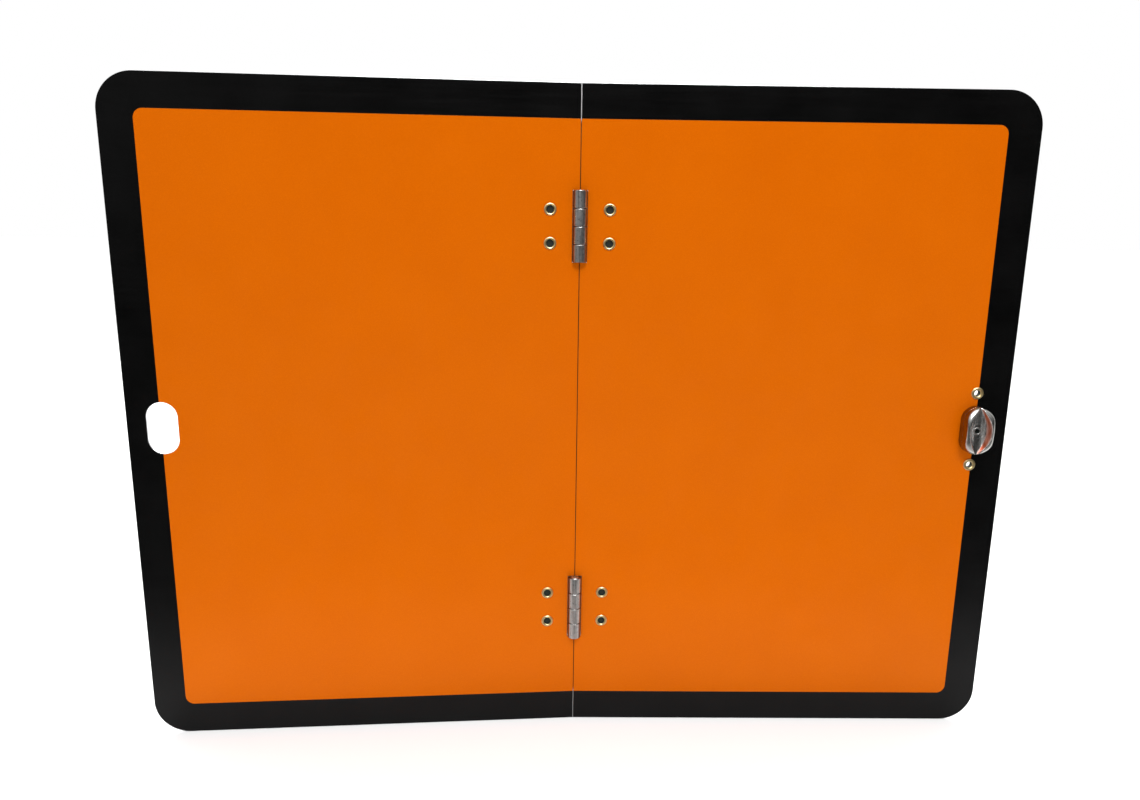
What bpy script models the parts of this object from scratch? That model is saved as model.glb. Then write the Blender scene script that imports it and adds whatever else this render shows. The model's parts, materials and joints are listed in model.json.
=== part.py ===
"""Folding hazard warning plate: two aluminium panels joined by two rolled hinges, with a turn-button lock.

Frame: the plate stands upright as it is mounted on a vehicle. +X runs along the plate, from the folding
panel to the fixed panel, +Z is up, and the reflective faces look towards -Y. The origin is on the fixed
panel's lower edge, in the middle of the sheet's thickness and 50 mm from the fold. Lengths are in metres.
"""

import math

import bmesh
import bpy
from mathutils import Matrix, Vector

MM = 0.001

# Panels: each half is a sheet of PANEL_W x PANEL_H, and the two edges at the fold leave a hairline gap.
PANEL_W = 200 * MM
PANEL_H = 300 * MM
PANEL_T = 1.0 * MM
CORNER_R = 16 * MM
FOLD_GAP = 0.4 * MM
FOLD_X = -50 * MM
BACK_Y = PANEL_T / 2
MIDDLE_Z = PANEL_H / 2
REST_FOLD = math.radians(4)

# Adhesive films on the front: an orange field, and a black border on the three outer sides.
GLUE = 0.05 * MM
FILM_T = 0.2 * MM
FILM_INSET = 0.15 * MM
BORDER = 14.6 * MM
FIELD_R = 4 * MM
FILM_SEAM = 0.05 * MM
FRONT = PANEL_T + GLUE + FILM_T

# Hinges: a leaf behind each panel, rolled round a pin that lies just in front of the film.
HINGE_Z = 90 * MM
LEAF_T = 1.0 * MM
LEAF_W = 20 * MM
LEAF_R = 2 * MM
LEAF_BACK = GLUE + LEAF_T
KNUCKLE_R = 3.1 * MM
KNUCKLE_H = 7.75 * MM
KNUCKLES = 4
KNUCKLE_GAP = 0.16 * MM
BARREL_H = KNUCKLES * KNUCKLE_H
ROLL_END = math.radians(36)
PIN_R = 2.0 * MM
PIN_HALF = BARREL_H / 2 + 0.2 * MM
PIN_DOME = 0.3 * MM
NOTCH_X = 3.5 * MM
NOTCH_HALF = BARREL_H / 2 + 0.4 * MM
AXIS_Y = LEAF_BACK - KNUCKLE_R

# Rivets: two per leaf, one above the other.
RIVET_X = 13.1 * MM
RIVET_HALF = 7.3 * MM
DRILL_R = 2.1 * MM
SHANK_R = 2.0 * MM
RIVET_BORE_R = 1.55 * MM
RIVET_BORE_FLOOR = -0.5 * MM
BORE_CONE = 0.3 * MM
RIM_R = 2.7 * MM
RIM_H = 0.55 * MM
HEAD_R = 3.4 * MM
HEAD_H = 0.9 * MM

# Lock: an oval post on the fixed panel that fills the folding panel's slot, and a button that turns on it.
LOCK_X = 184.7 * MM
SLOT_W = 13.6 * MM
SLOT_H = 23.6 * MM
EYELET_Z = 17.1 * MM
EYELET_BORE_R = 1.6 * MM
EYELET_BACK_R = 2.9 * MM
BASE_W = 12 * MM
BASE_H = 44 * MM
BUTTON_W = 12.6 * MM
BUTTON_H = 22.4 * MM
POST_TOP = FRONT + 3.0 * MM
WASHER_T = 0.4 * MM
WASHER_GAP = 0.05 * MM
WASHER_IN_R = 2.4 * MM
WASHER_OUT_R = 4.5 * MM
WASHER_SEAT_R = 4.8 * MM
HEAD_BASE = POST_TOP + 0.1 * MM
HEAD_TOP = FRONT + 8.8 * MM
HEAD_ROUND = 2.2 * MM
GROOVE_HALF_W = 3.3 * MM
GROOVE_HALF_L = 10.8 * MM
GROOVE_DEPTH = 3.0 * MM
PIVOT_R = 1.5 * MM
PIVOT_DRILL_R = 1.65 * MM
PIVOT_RIM_R = 2.1 * MM
PIVOT_SEAT_R = 2.5 * MM
PIVOT_SEAT_FLOOR = HEAD_TOP - GROOVE_DEPTH - 0.3 * MM
PIVOT_SEAT_GAP = 0.1 * MM
PIVOT_BORE_R = 0.85 * MM
PIVOT_BORE_DEPTH = 2 * MM

HOLE_SEGMENTS = 20
TURN_STEPS = 16
ARC_STEP = math.radians(12)
CUT_DEPTH = 30 * MM
WELD = 0.001 * MM

TO_FRONT = Matrix.Rotation(math.pi / 2, 4, "X")


def clear_scene():
    for obj in list(bpy.data.objects):
        bpy.data.objects.remove(obj)


def collection(name, hidden=False):
    made = bpy.data.collections.new(name)
    bpy.context.scene.collection.children.link(made)
    made.hide_render = hidden
    return made


def material(name, color, roughness, metallic):
    made = bpy.data.materials.new(name)
    made.use_nodes = True
    shader = made.node_tree.nodes["Principled BSDF"]
    shader.inputs["Base Color"].default_value = (*color, 1)
    shader.inputs["Roughness"].default_value = roughness
    shader.inputs["Metallic"].default_value = metallic
    return made


def add(name, mesh, where, parent, matrix, look=None):
    """Links a new object whose matrix is given relative to its parent."""
    obj = bpy.data.objects.new(name, mesh)
    where.objects.link(obj)
    obj.parent = parent
    obj.matrix_local = matrix
    if look:
        mesh.materials.append(look)
    return obj


def as_cutter(obj):
    obj.hide_render = True
    obj.display_type = "WIRE"
    return obj


def arc(cx, cy, radius, start, end):
    """Points along an arc, both ends included, no more than ARC_STEP apart."""
    count = max(2, math.ceil(abs(end - start) / ARC_STEP))
    angles = [start + (end - start) * i / count for i in range(count + 1)]
    return [(cx + radius * math.cos(a), cy + radius * math.sin(a)) for a in angles]


def rounded(corners):
    """A closed outline through corners given as (x, y, radius), each rounded by its radius."""
    outline = []
    for i, (x, y, radius) in enumerate(corners):
        here = Vector((x, y))
        to_last = (Vector(corners[i - 1][:2]) - here).normalized()
        to_next = (Vector(corners[(i + 1) % len(corners)][:2]) - here).normalized()
        if radius == 0:
            outline.append((x, y))
            continue
        half = to_last.angle(to_next) / 2
        centre = here + (to_last + to_next).normalized() * radius / math.sin(half)
        first = here + to_last * radius / math.tan(half) - centre
        last = here + to_next * radius / math.tan(half) - centre
        start = math.atan2(first.y, first.x)
        turn = math.remainder(math.atan2(last.y, last.x) - start, math.tau)
        outline += arc(centre.x, centre.y, radius, start, start + turn)
    return outline


def stadium(width, height, cx=0.0, cy=0.0):
    """A slot outline with full round ends, higher than it is wide."""
    radius = width / 2
    straight = height / 2 - radius
    top = arc(cx, cy + straight, radius, 0, math.pi)
    return top + arc(cx, cy - straight, radius, math.pi, math.tau)


def sheet_mesh(name, outline, thickness):
    """A flat solid of the outline's shape, centred on its local XY plane, as a welded mesh."""
    curve = bpy.data.curves.new(name, "CURVE")
    curve.dimensions = "2D"
    curve.fill_mode = "BOTH"
    curve.extrude = thickness / 2
    spline = curve.splines.new("POLY")
    spline.points.add(len(outline) - 1)
    spline.use_cyclic_u = True
    for point, (x, y) in zip(spline.points, outline):
        point.co = (x, y, 0, 1)
    guide = bpy.data.objects.new(name + "_guide", curve)
    bpy.context.scene.collection.objects.link(guide)
    graph = bpy.context.evaluated_depsgraph_get()
    mesh = bpy.data.meshes.new_from_object(guide.evaluated_get(graph))
    bpy.data.objects.remove(guide)
    shell = bmesh.new()
    shell.from_mesh(mesh)
    bmesh.ops.remove_doubles(shell, verts=shell.verts, dist=WELD)
    bmesh.ops.recalc_face_normals(shell, faces=shell.faces)
    shell.to_mesh(mesh)
    shell.free()
    mesh.name = name
    return mesh


def facing_front(x, height, z):
    """Places a local XY outline at (x, z) with its local +Z towards the front, height above the back face."""
    return Matrix.Translation((x, -height, z)) @ TO_FRONT


def sheet(name, outline, height, thickness, where, parent, look=None):
    """A sheet parallel to the panels. height is how far its middle lies in front of the back face."""
    mesh = sheet_mesh(name, outline, thickness)
    return add(name, mesh, where, parent, facing_front(0, height, 0), look)


def cylinder_mesh(name, radius, depth):
    mesh = bpy.data.meshes.new(name)
    shell = bmesh.new()
    bmesh.ops.create_cone(
        shell, cap_ends=True, segments=HOLE_SEGMENTS, radius1=radius, radius2=radius, depth=depth
    )
    shell.to_mesh(mesh)
    shell.free()
    return mesh


def drill(name, radius, x, z, where, parent):
    mesh = cylinder_mesh(name, radius, CUT_DEPTH)
    return as_cutter(add(name, mesh, where, parent, facing_front(x, 0, z)))


def box_cutter(name, low, high, where, parent):
    mesh = bpy.data.meshes.new(name)
    shell = bmesh.new()
    bmesh.ops.create_cube(shell, size=1)
    size = Vector(high) - Vector(low)
    bmesh.ops.scale(shell, verts=shell.verts, vec=size)
    shell.to_mesh(mesh)
    shell.free()
    middle = (Vector(low) + Vector(high)) / 2
    return as_cutter(add(name, mesh, where, parent, Matrix.Translation(middle)))


def boolean(obj, operation, other):
    """A Boolean with one object, or with every object of a collection."""
    modifier = obj.modifiers.new(operation.title(), "BOOLEAN")
    modifier.operation = operation
    modifier.solver = "EXACT"
    if isinstance(other, bpy.types.Collection):
        modifier.operand_type = "COLLECTION"
        modifier.collection = other
    else:
        modifier.object = other


def turned(name, profile, matrix, where, parent, look, closed=False):
    """A turned piece: the profile of (radius, height) points runs down its outer side, round local Z."""
    mesh = bpy.data.meshes.new(name)
    shell = bmesh.new()
    points = [shell.verts.new((radius, 0, height)) for radius, height in profile]
    pairs = list(zip(points, points[1:]))
    if closed:
        pairs.append((points[-1], points[0]))
    for pair in pairs:
        shell.edges.new(pair)
    shell.to_mesh(mesh)
    shell.free()
    obj = add(name, mesh, where, parent, matrix, look)
    screw = obj.modifiers.new("Turn", "SCREW")
    screw.steps = TURN_STEPS
    screw.render_steps = TURN_STEPS
    screw.use_merge_vertices = True
    screw.merge_threshold = WELD
    screw.use_smooth_shade = True
    return obj


def rolled_rim(bore, outer, seat, height):
    """The clinched ring of a tubular rivet, from the bore's mouth over the roll to its underside."""
    wall = outer - bore
    return [
        (bore, seat + 0.5 * height),
        (bore + 0.3 * wall, seat + height),
        (bore + 0.7 * wall, seat + height),
        (outer, seat + 0.4 * height),
        (outer - 0.1 * wall, seat),
    ]


def rivet_head(radius, back):
    """The domed head of a rivet behind the plate, down to the axis. back is the head's underside."""
    return [
        (radius, back),
        (radius, back - 0.3 * HEAD_H),
        (0.7 * radius, back - 0.85 * HEAD_H),
        (0, back - HEAD_H),
    ]


def mirrored(profile):
    """The same profile points with the heights turned over, still running down the outer side."""
    return [(radius, -height) for radius, height in reversed(profile)]


def panel_outline(side, inset, border=0.0, corner=CORNER_R):
    """The outline of a half plate seen from the front, notched for the hinge barrels.

    side is 1 for the fixed panel and -1 for the folding one, inset draws every edge in, and border draws
    in the three outer edges further. Coordinates start at the fold line.
    """
    near = FOLD_GAP / 2 + inset
    far = PANEL_W - inset - border
    top = PANEL_H / 2 - inset - border
    outline = [(near, -top, 0), (far, -top, corner), (far, top, corner), (near, top, 0)]
    for centre in (HINGE_Z, -HINGE_Z):
        high = centre + NOTCH_HALF + inset
        low = centre - NOTCH_HALF - inset
        deep = NOTCH_X + inset
        outline += [(near, high, 0), (deep, high, 0), (deep, low, 0), (near, low, 0)]
    return rounded([(side * x, y, radius) for x, y, radius in outline])


def border_outline(side):
    """The black frame: a C that is open at the fold."""
    near = FOLD_GAP / 2 + FILM_INSET
    far = PANEL_W - FILM_INSET
    top = PANEL_H / 2 - FILM_INSET
    inner_far = PANEL_W - BORDER
    inner_top = PANEL_H / 2 - BORDER
    outer_r = CORNER_R - FILM_INSET
    outline = [
        (near, -top, 0),
        (far, -top, outer_r),
        (far, top, outer_r),
        (near, top, 0),
        (near, inner_top, 0),
        (inner_far, inner_top, FIELD_R),
        (inner_far, -inner_top, FIELD_R),
        (near, -inner_top, 0),
    ]
    return rounded([(side * x, y, radius) for x, y, radius in outline])


def rivet_places():
    """(name, z of the hinge, z of the rivet) of the four rivets in one panel."""
    for hinge, centre in (("upper", HINGE_Z), ("lower", -HINGE_Z)):
        for row, offset in (("top", RIVET_HALF), ("bottom", -RIVET_HALF)):
            yield f"{hinge}_hinge", row, centre + offset


def hinge_rivet(name, x, z, where, parent, look):
    """A semi-tubular rivet: headed behind the leaf, and clinched over the film with its hollow end."""
    seat = FRONT + GLUE
    back = -LEAF_BACK - GLUE
    rim = rolled_rim(RIVET_BORE_R, RIM_R, seat, RIM_H)
    profile = [(0, RIVET_BORE_FLOOR - BORE_CONE), (RIVET_BORE_R, RIVET_BORE_FLOOR)] + rim
    profile += [(SHANK_R, seat), (SHANK_R, back)] + rivet_head(HEAD_R, back)
    return turned(name, profile, facing_front(x, 0, z), where, parent, look)


def eyelet(name, x, z, where, parent, look):
    """A hollow rivet that is open right through, rolled over the film and over the lock's base plate."""
    front = rolled_rim(EYELET_BORE_R, RIM_R, FRONT + GLUE, RIM_H)
    back = mirrored(rolled_rim(EYELET_BORE_R, EYELET_BACK_R, LEAF_BACK + GLUE, RIM_H))
    profile = front + [(SHANK_R, FRONT + GLUE), (SHANK_R, -LEAF_BACK - GLUE)] + back
    return turned(name, profile, facing_front(x, 0, z), where, parent, look, closed=True)


def leaf_profile(side):
    """A hinge leaf seen from above, round the pin: a flat strip whose end is rolled into the knuckle."""
    inner = KNUCKLE_R - LEAF_T
    start, end = math.pi / 2, math.tau + ROLL_END
    outline = [(LEAF_W, inner), (LEAF_W, KNUCKLE_R)]
    outline += arc(0, 0, KNUCKLE_R, start, end)
    outline += arc(0, 0, inner, end, start)
    return [(side * x, y) for x, y in outline]


def is_leaf_corner(edge):
    """One of the two edges through the leaf's thickness at its far corners."""
    a, b = (vert.co for vert in edge.verts)
    far = min(abs(a.x), abs(b.x)) > LEAF_W - WELD
    return far and abs(a.z - b.z) < WELD


def hinge_leaf(name, side, centre, keeps, parent, drills, parts, cutters, look):
    """One leaf of the hinge at height centre. keeps lists its own knuckles, counted from the top."""
    mesh = sheet_mesh(name, leaf_profile(side), BARREL_H)
    shell = bmesh.new()
    shell.from_mesh(mesh)
    corners = [e for e in shell.edges if is_leaf_corner(e)]
    bmesh.ops.bevel(shell, geom=corners, offset=LEAF_R, segments=4, affect="EDGES", profile=0.5)
    shell.to_mesh(mesh)
    shell.free()
    leaf = add(name, mesh, parts, parent, Matrix.Translation((0, AXIS_Y, centre)), look)
    top = centre + BARREL_H / 2
    for knuckle in range(KNUCKLES):
        if knuckle in keeps:
            continue
        spare = KNUCKLE_GAP / 2
        low_z = top - (knuckle + 1) * KNUCKLE_H - (spare if knuckle < KNUCKLES - 1 else KNUCKLE_R)
        high_z = top - knuckle * KNUCKLE_H + (spare if knuckle > 0 else KNUCKLE_R)
        near, far = sorted((-side * 2 * KNUCKLE_R, side * NOTCH_X))
        low = (near, AXIS_Y - 2 * KNUCKLE_R, low_z)
        high = (far, AXIS_Y + 2 * KNUCKLE_R, high_z)
        cutter = box_cutter(f"{name}_gap_{knuckle}", low, high, cutters, parent)
        boolean(leaf, "DIFFERENCE", cutter)
    boolean(leaf, "DIFFERENCE", drills)
    return leaf


def hinge_pin(name, centre, where, parent, look):
    """The pin through all the knuckles of one hinge, with slightly domed ends."""
    end = [(0, PIN_HALF), (0.75 * PIN_R, PIN_HALF - 0.2 * PIN_DOME), (PIN_R, PIN_HALF - PIN_DOME)]
    matrix = Matrix.Translation((0, AXIS_Y, centre))
    return turned(name, end + mirrored(end), matrix, where, parent, look)


def half_plate(side, word, parent, drills, parts, looks):
    """The aluminium sheet and the two films of one half, all cut by the same drills."""
    outlines = (
        ("panel", panel_outline(side, 0), PANEL_T / 2, PANEL_T, "aluminium"),
        (
            "orange_sheeting",
            panel_outline(side, FILM_INSET, BORDER - FILM_INSET + FILM_SEAM, FIELD_R),
            FRONT - FILM_T / 2,
            FILM_T,
            "orange_film",
        ),
        ("black_border", border_outline(side), FRONT - FILM_T / 2, FILM_T, "black_film"),
    )
    for what, outline, height, thickness, look in outlines:
        piece = sheet(f"{word}_{what}", outline, height, thickness, parts, parent, looks[look])
        boolean(piece, "DIFFERENCE", drills)


def counterbore(name, radius, floor, where, parent):
    """A cutter for a round recess that is open to the front."""
    mesh = cylinder_mesh(name, radius, CUT_DEPTH)
    return as_cutter(add(name, mesh, where, parent, facing_front(0, floor + CUT_DEPTH / 2, 0)))


def lock_post(parent, parts, cutters, look):
    """The fixed oval post, with a round seat for the washer in its top."""
    low = FRONT + GLUE
    outline = stadium(BUTTON_W, BUTTON_H)
    post = sheet("lock_post", outline, (low + POST_TOP) / 2, POST_TOP - low, parts, parent, look)
    seat_floor = POST_TOP - WASHER_T - WASHER_GAP
    boolean(post, "DIFFERENCE", counterbore("washer_seat", WASHER_SEAT_R, seat_floor, cutters, parent))
    boolean(post, "DIFFERENCE", drill("post_bore", PIVOT_DRILL_R, 0, 0, cutters, parent))


def lock_button(parent, parts, cutters, look):
    """The oval button, rounded over its front edge, with a bean-shaped groove along it."""
    half = (HEAD_TOP - HEAD_BASE) / 2
    mesh = sheet_mesh("lock_button", stadium(BUTTON_W, BUTTON_H), 2 * half)
    shell = bmesh.new()
    shell.from_mesh(mesh)
    bmesh.ops.dissolve_limit(shell, angle_limit=0.01, verts=shell.verts, edges=shell.edges)
    rim = [e for e in shell.edges if all(v.co.z > half - WELD for v in e.verts)]
    bmesh.ops.bevel(shell, geom=rim, offset=HEAD_ROUND, segments=3, affect="EDGES", profile=0.5)
    shell.to_mesh(mesh)
    shell.free()
    middle = facing_front(0, HEAD_BASE + half, 0)
    button = add("lock_button", mesh, parts, parent, middle, look)

    groove_mesh = bpy.data.meshes.new("groove")
    shell = bmesh.new()
    bmesh.ops.create_uvsphere(shell, u_segments=20, v_segments=10, radius=1)
    size = (GROOVE_HALF_W, GROOVE_HALF_L, GROOVE_DEPTH)
    bmesh.ops.scale(shell, verts=shell.verts, vec=size)
    shell.to_mesh(groove_mesh)
    shell.free()
    top = facing_front(0, HEAD_TOP, 0)
    groove = as_cutter(add("groove", groove_mesh, cutters, parent, top))
    seat = counterbore("pivot_seat", PIVOT_SEAT_R, PIVOT_SEAT_FLOOR, cutters, parent)
    bore = drill("button_bore", PIVOT_DRILL_R, 0, 0, cutters, parent)
    for cutter in (groove, seat, bore):
        boolean(button, "DIFFERENCE", cutter)


def lock_pivot(parent, parts, look):
    """The rivet that the button turns on, clinched in the seat at the bottom of the groove."""
    seat = PIVOT_SEAT_FLOOR + PIVOT_SEAT_GAP
    back = -LEAF_BACK - GLUE
    bore_floor = seat - PIVOT_BORE_DEPTH
    rim = rolled_rim(PIVOT_BORE_R, PIVOT_RIM_R, seat, RIM_H)
    profile = [(0, bore_floor - BORE_CONE), (PIVOT_BORE_R, bore_floor)] + rim
    profile += [(PIVOT_R, seat), (PIVOT_R, back)] + rivet_head(HEAD_R, back)
    return turned("lock_pivot_rivet", profile, facing_front(0, 0, 0), parts, parent, look)


def lock_washer(parent, parts, look):
    """The spring washer in the post's seat, which drags on the button so that it stays where it is set."""
    high = POST_TOP
    low = high - WASHER_T
    profile = [(WASHER_IN_R, high), (WASHER_OUT_R, high), (WASHER_OUT_R, low), (WASHER_IN_R, low)]
    place = facing_front(0, 0, 0)
    return turned("lock_spring_washer", profile, place, parts, parent, look, closed=True)


def empty(name, where, location, turn=0.0):
    made = bpy.data.objects.new(name, None)
    where.objects.link(made)
    made.matrix_world = Matrix.Translation(location) @ Matrix.Rotation(turn, 4, "Z")
    return made


def build():
    clear_scene()
    parts = collection("folding_hazard_plate")
    cutters = collection("cutters", hidden=True)
    fixed_drills = collection("fixed_drills", hidden=True)
    folding_drills = collection("folding_drills", hidden=True)
    looks = {
        "aluminium": material("aluminium", (0.75, 0.76, 0.77), 0.4, 1),
        "orange_film": material("orange_film", (0.85, 0.16, 0.0), 0.3, 0),
        "black_film": material("black_film", (0.01, 0.01, 0.01), 0.25, 0),
        "zinc_steel": material("zinc_steel", (0.55, 0.56, 0.55), 0.3, 1),
        "brass": material("brass", (0.75, 0.6, 0.28), 0.3, 1),
        "nickel": material("nickel", (0.7, 0.69, 0.67), 0.18, 1),
    }
    # The fold line of the fixed half, then the folding half turned about the pins, then the button.
    fold_line = empty("fold_line", parts, (FOLD_X, BACK_Y, MIDDLE_Z))
    pin_axis = empty("pin_axis", parts, (FOLD_X, BACK_Y + AXIS_Y, MIDDLE_Z), REST_FOLD)
    folding = empty("folding_half", parts, (0, 0, 0))
    folding.parent = pin_axis
    folding.matrix_local = Matrix.Translation((0, -AXIS_Y, 0))
    lock_axis = empty("lock_axis", parts, (FOLD_X + LOCK_X, BACK_Y, MIDDLE_Z))
    bpy.context.view_layer.update()

    for where, z in (("upper", EYELET_Z), ("lower", -EYELET_Z)):
        drill(f"{where}_eyelet_drill", DRILL_R, LOCK_X, z, fixed_drills, fold_line)
        eyelet(f"lock_{where}_eyelet", 0, z, parts, lock_axis, looks["brass"])
    drill("pivot_drill", PIVOT_DRILL_R, LOCK_X, 0, fixed_drills, fold_line)
    slot_mesh = sheet_mesh("slot", stadium(SLOT_W, SLOT_H, -LOCK_X), CUT_DEPTH)
    as_cutter(add("slot", slot_mesh, folding_drills, folding, facing_front(0, 0, 0)))

    halves = (
        (1, "right", fold_line, fixed_drills, (1, 3)),
        (-1, "left", folding, folding_drills, (0, 2)),
    )
    for side, word, parent, drills, knuckles in halves:
        for hinge, row, z in rivet_places():
            x = side * RIVET_X
            drill(f"{word}_{hinge}_{row}_drill", DRILL_R, x, z, drills, parent)
            hinge_rivet(f"{hinge}_{word}_{row}_rivet", x, z, parts, parent, looks["brass"])
        half_plate(side, word, parent, drills, parts, looks)
        for hinge, centre in (("upper", HINGE_Z), ("lower", -HINGE_Z)):
            name = f"{hinge}_hinge_{word}_leaf"
            steel = looks["zinc_steel"]
            hinge_leaf(name, side, centre, knuckles, parent, drills, parts, cutters, steel)
    for hinge, centre in (("upper", HINGE_Z), ("lower", -HINGE_Z)):
        hinge_pin(f"{hinge}_hinge_pin", centre, parts, fold_line, looks["zinc_steel"])

    base_outline = stadium(BASE_W, BASE_H, LOCK_X)
    middle = -(GLUE + LEAF_T / 2)
    steel = looks["zinc_steel"]
    base = sheet("lock_base_plate", base_outline, middle, LEAF_T, parts, fold_line, steel)
    boolean(base, "DIFFERENCE", fixed_drills)
    lock_post(lock_axis, parts, cutters, looks["nickel"])
    lock_washer(lock_axis, parts, looks["zinc_steel"])
    lock_pivot(lock_axis, parts, looks["zinc_steel"])
    lock_button(lock_axis, parts, cutters, looks["nickel"])


build()
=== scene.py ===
import json
import math

import bmesh
import bpy
from mathutils import Matrix, Vector

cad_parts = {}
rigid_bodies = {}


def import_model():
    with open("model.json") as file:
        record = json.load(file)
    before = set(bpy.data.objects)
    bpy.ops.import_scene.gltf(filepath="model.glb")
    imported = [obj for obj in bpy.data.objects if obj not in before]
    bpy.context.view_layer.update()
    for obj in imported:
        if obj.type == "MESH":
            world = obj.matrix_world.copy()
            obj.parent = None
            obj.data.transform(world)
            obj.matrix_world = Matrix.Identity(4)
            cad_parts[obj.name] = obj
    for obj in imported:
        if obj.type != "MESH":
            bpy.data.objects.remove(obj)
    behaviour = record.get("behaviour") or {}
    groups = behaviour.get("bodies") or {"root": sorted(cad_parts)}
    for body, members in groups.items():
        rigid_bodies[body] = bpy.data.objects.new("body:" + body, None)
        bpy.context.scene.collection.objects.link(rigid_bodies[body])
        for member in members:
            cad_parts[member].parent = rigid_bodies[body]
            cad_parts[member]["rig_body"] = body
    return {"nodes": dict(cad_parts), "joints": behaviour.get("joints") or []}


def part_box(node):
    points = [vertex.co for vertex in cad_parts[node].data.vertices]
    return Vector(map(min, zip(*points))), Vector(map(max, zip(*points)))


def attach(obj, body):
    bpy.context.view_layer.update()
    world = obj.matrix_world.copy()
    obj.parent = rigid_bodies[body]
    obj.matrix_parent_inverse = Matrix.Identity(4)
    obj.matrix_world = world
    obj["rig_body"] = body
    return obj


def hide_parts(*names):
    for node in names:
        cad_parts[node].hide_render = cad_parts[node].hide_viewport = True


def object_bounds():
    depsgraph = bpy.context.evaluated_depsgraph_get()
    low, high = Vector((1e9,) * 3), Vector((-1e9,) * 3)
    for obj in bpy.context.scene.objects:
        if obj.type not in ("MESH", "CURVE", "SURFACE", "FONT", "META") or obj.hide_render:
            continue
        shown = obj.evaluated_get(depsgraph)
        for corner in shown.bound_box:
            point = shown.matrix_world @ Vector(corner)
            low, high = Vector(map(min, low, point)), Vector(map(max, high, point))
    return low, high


# Looks of the folding hazard warning plate. Every place comes from the frame, and lengths are in metres.
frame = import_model()
cad_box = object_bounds()

MM = 0.001

# ---------------------------------------------------------------- places, read from the frame
JOINTS = {joint["name"]: joint for joint in frame["joints"]}
PIN_AXIS = Vector(JOINTS["panel_fold"]["pos_m"])
REST_FOLD = math.radians(-JOINTS["panel_fold"]["range_deg"][0])
LOCK = Vector(JOINTS["button_turn"]["pos_m"])
FIXED = Matrix.Identity(4)
FOLDING = (
    Matrix.Translation(PIN_AXIS) @ Matrix.Rotation(REST_FOLD, 4, "Z") @ Matrix.Translation(-PIN_AXIS)
)
TO_FRONT = Matrix.Rotation(math.pi / 2, 4, "X")


def middle_of(node):
    """The middle of a CAD node's box, before the folding half is turned to its rest angle."""
    low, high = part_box(node)
    centre = (low + high) / 2
    if frame["nodes"][node]["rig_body"] == "folding_half":
        centre = FOLDING.inverted() @ centre
    return centre


PANEL_LOW, PANEL_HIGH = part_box("right_panel")
FILM_LOW, FILM_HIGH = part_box("right_orange_sheeting")
BORDER_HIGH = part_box("right_black_border")[1]
FOLD_X = PIN_AXIS.x
BACK = PANEL_HIGH.y
PANEL_T = PANEL_HIGH.y - PANEL_LOW.y
FACE = FILM_LOW.y
MIDDLE_Z = (PANEL_LOW.z + PANEL_HIGH.z) / 2
PANEL_TOP = PANEL_HIGH.z - MIDDLE_Z
PANEL_FAR = PANEL_HIGH.x - FOLD_X
FILM_FAR = BORDER_HIGH.x - FOLD_X
FILM_TOP = BORDER_HIGH.z - MIDDLE_Z
FIELD_FAR = FILM_HIGH.x - FOLD_X
FIELD_TOP = FILM_HIGH.z - MIDDLE_Z
HINGES = {row: middle_of(f"{row}_hinge_pin").z for row in ("upper", "lower")}
RIVET_X = middle_of("upper_hinge_right_top_rivet").x - FOLD_X
RIVET_HALF = middle_of("upper_hinge_right_top_rivet").z - HINGES["upper"]
LOCK_X = LOCK.x - FOLD_X
EYELET_Z = middle_of("lock_upper_eyelet").z - MIDDLE_Z
BASE_LOW, BASE_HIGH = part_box("lock_base_plate")
POST_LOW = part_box("lock_post")[0]
HEAD_LOW, HEAD_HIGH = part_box("lock_button")

CORNER_R = 16 * MM
FIELD_R = 4 * MM
SEAM = 0.05 * MM
EDGE_ROUND = 0.12 * MM
FILM_ROUND = 0.06 * MM
# The sheets all but meet at the fold, and the films stop a little short of it and of the hinge notches.
PANEL_NEAR = 0.005 * MM
FILM_NEAR = 0.16 * MM
FILM_INSET = 0.08 * MM
# The sheets' edges at the fold lean to the left at the back, which blocks a straight look from in front
# through the fold when it opens a little.
FOLD_SLANT = 0.15 * MM
FOLD_ZONE = 0.2 * MM

# Hinge sections, round the pin.
KNUCKLES = 4
BARREL_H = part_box("upper_hinge_right_leaf")[1].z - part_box("upper_hinge_right_leaf")[0].z
KNUCKLE_R = 3.1 * MM
LEAF_T = 1.0 * MM
LEAF_W = 20 * MM
LEAF_R = 2 * MM
LEAF_NEAR = 1.5 * MM
COPE_R = KNUCKLE_R + 0.06 * MM
LEAF_ROUND = 0.15 * MM
TONGUE = KNUCKLE_R + 1.0 * MM
TONGUE_SHY = 0.02 * MM
KNUCKLE_GAP = 0.2 * MM
KNUCKLE_ROUND = 0.3 * MM
ROLL_END = math.radians(36)
NOTCH_X = KNUCKLE_R + 0.14 * MM
NOTCH_HALF = BARREL_H / 2 + 0.06 * MM
PIN_HALF = BARREL_H / 2 + 0.03 * MM
PIN_R = 2.0 * MM
PIN_CHAMFER = 0.35 * MM

# Rivets: heights are counted from the panel's back face towards the front.
FRONT = BACK - FACE
GLUE = 0.05 * MM
LEAF_BACK = GLUE + LEAF_T
DRILL_R = 2.1 * MM
SHANK_R = 2.0 * MM
RIVET_BORE_R = 1.7 * MM
RIM_R = 2.8 * MM
RIM_H = 0.55 * MM
CORE_DEPTH = 0.35 * MM
BORE_CONE = 0.1 * MM
HEAD_R = 3.4 * MM
HEAD_H = 0.9 * MM
EYELET_BORE_R = 1.45 * MM
EYELET_BACK_R = 2.9 * MM

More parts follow.
